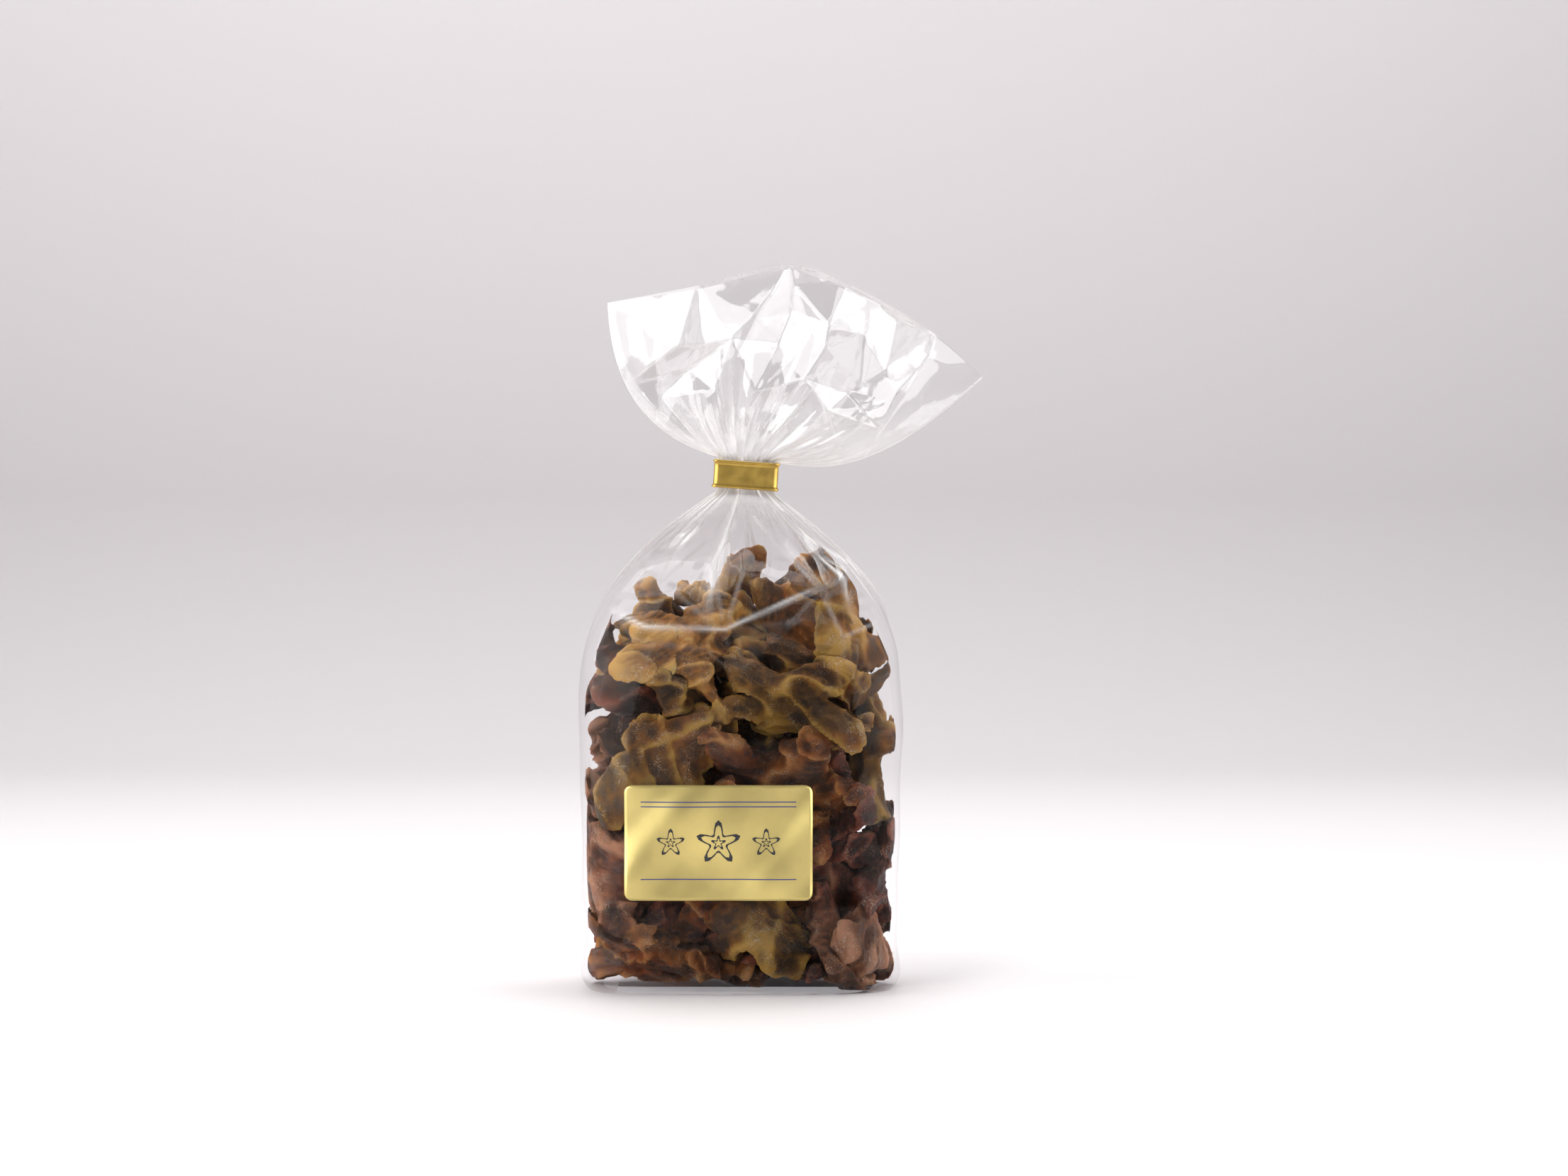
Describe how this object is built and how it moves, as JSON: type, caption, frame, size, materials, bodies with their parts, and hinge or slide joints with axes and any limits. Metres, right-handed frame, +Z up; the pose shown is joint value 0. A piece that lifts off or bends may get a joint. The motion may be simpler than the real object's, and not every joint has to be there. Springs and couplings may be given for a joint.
{
  "type": "bag of dried star fruit",
  "caption": "Clear film bag of dried, curled star-shaped fruit slices, gathered at the neck by a gold clip band under a flared mouth, with a plain gold label on its front.",
  "frame": {"origin": "middle of the bag's flat base, on the surface it stands on", "axes": "+Z up along the bag, -Y out of its front, where the label is, +X to the right seen from the front"},
  "size_m": [0.1138, 0.0557, 0.2036],
  "materials": {
    "clear_film": "thin clear glossy packaging film, creased at the neck and in the flared mouth",
    "gold_clip": "satin gold metallised strip",
    "label_foil": "pale gold metallic adhesive paper, satin",
    "flesh_amber": "dried fruit flesh, amber brown, translucent, with sugar specks",
    "flesh_olive": "dried fruit flesh, olive yellow, translucent, with sugar specks",
    "flesh_red": "dried fruit flesh, dark red brown, translucent, with sugar specks",
    "flesh_honey": "dried fruit flesh, honey yellow, translucent, with sugar specks",
    "flesh_pink": "dried fruit flesh, pinkish tan, translucent, with sugar specks"
  },
  "bodies": {
    "root": {"film_bag": "clear_film", "clip_band": "gold_clip", "label": "label_foil", "slice_01": "flesh_olive", "slice_02": "flesh_honey", "slice_03": "flesh_amber", "slice_04": "flesh_olive", "slice_05": "flesh_pink", "slice_06": "flesh_olive", "slice_07": "flesh_red", "slice_08": "flesh_olive", "slice_09": "flesh_red", "slice_10": "flesh_red", "slice_11": "flesh_amber", "slice_12": "flesh_pink", "slice_13": "flesh_amber", "slice_14": "flesh_pink", "slice_15": "flesh_pink", "slice_16": "flesh_olive", "slice_17": "flesh_amber", "slice_18": "flesh_olive", "slice_19": "flesh_olive", "slice_20": "flesh_amber", "slice_21": "flesh_amber", "slice_22": "flesh_red", "slice_23": "flesh_red", "slice_24": "flesh_olive", "slice_25": "flesh_olive", "slice_26": "flesh_red", "slice_27": "flesh_amber", "slice_28": "flesh_pink", "slice_29": "flesh_olive", "slice_30": "flesh_olive", "slice_31": "flesh_amber", "slice_32": "flesh_olive", "slice_33": "flesh_amber", "slice_34": "flesh_amber", "slice_35": "flesh_pink", "slice_36": "flesh_honey", "slice_37": "flesh_red", "slice_38": "flesh_red", "slice_39": "flesh_honey", "slice_40": "flesh_honey", "slice_41": "flesh_pink", "slice_42": "flesh_honey"}
  },
  "joints": []
}
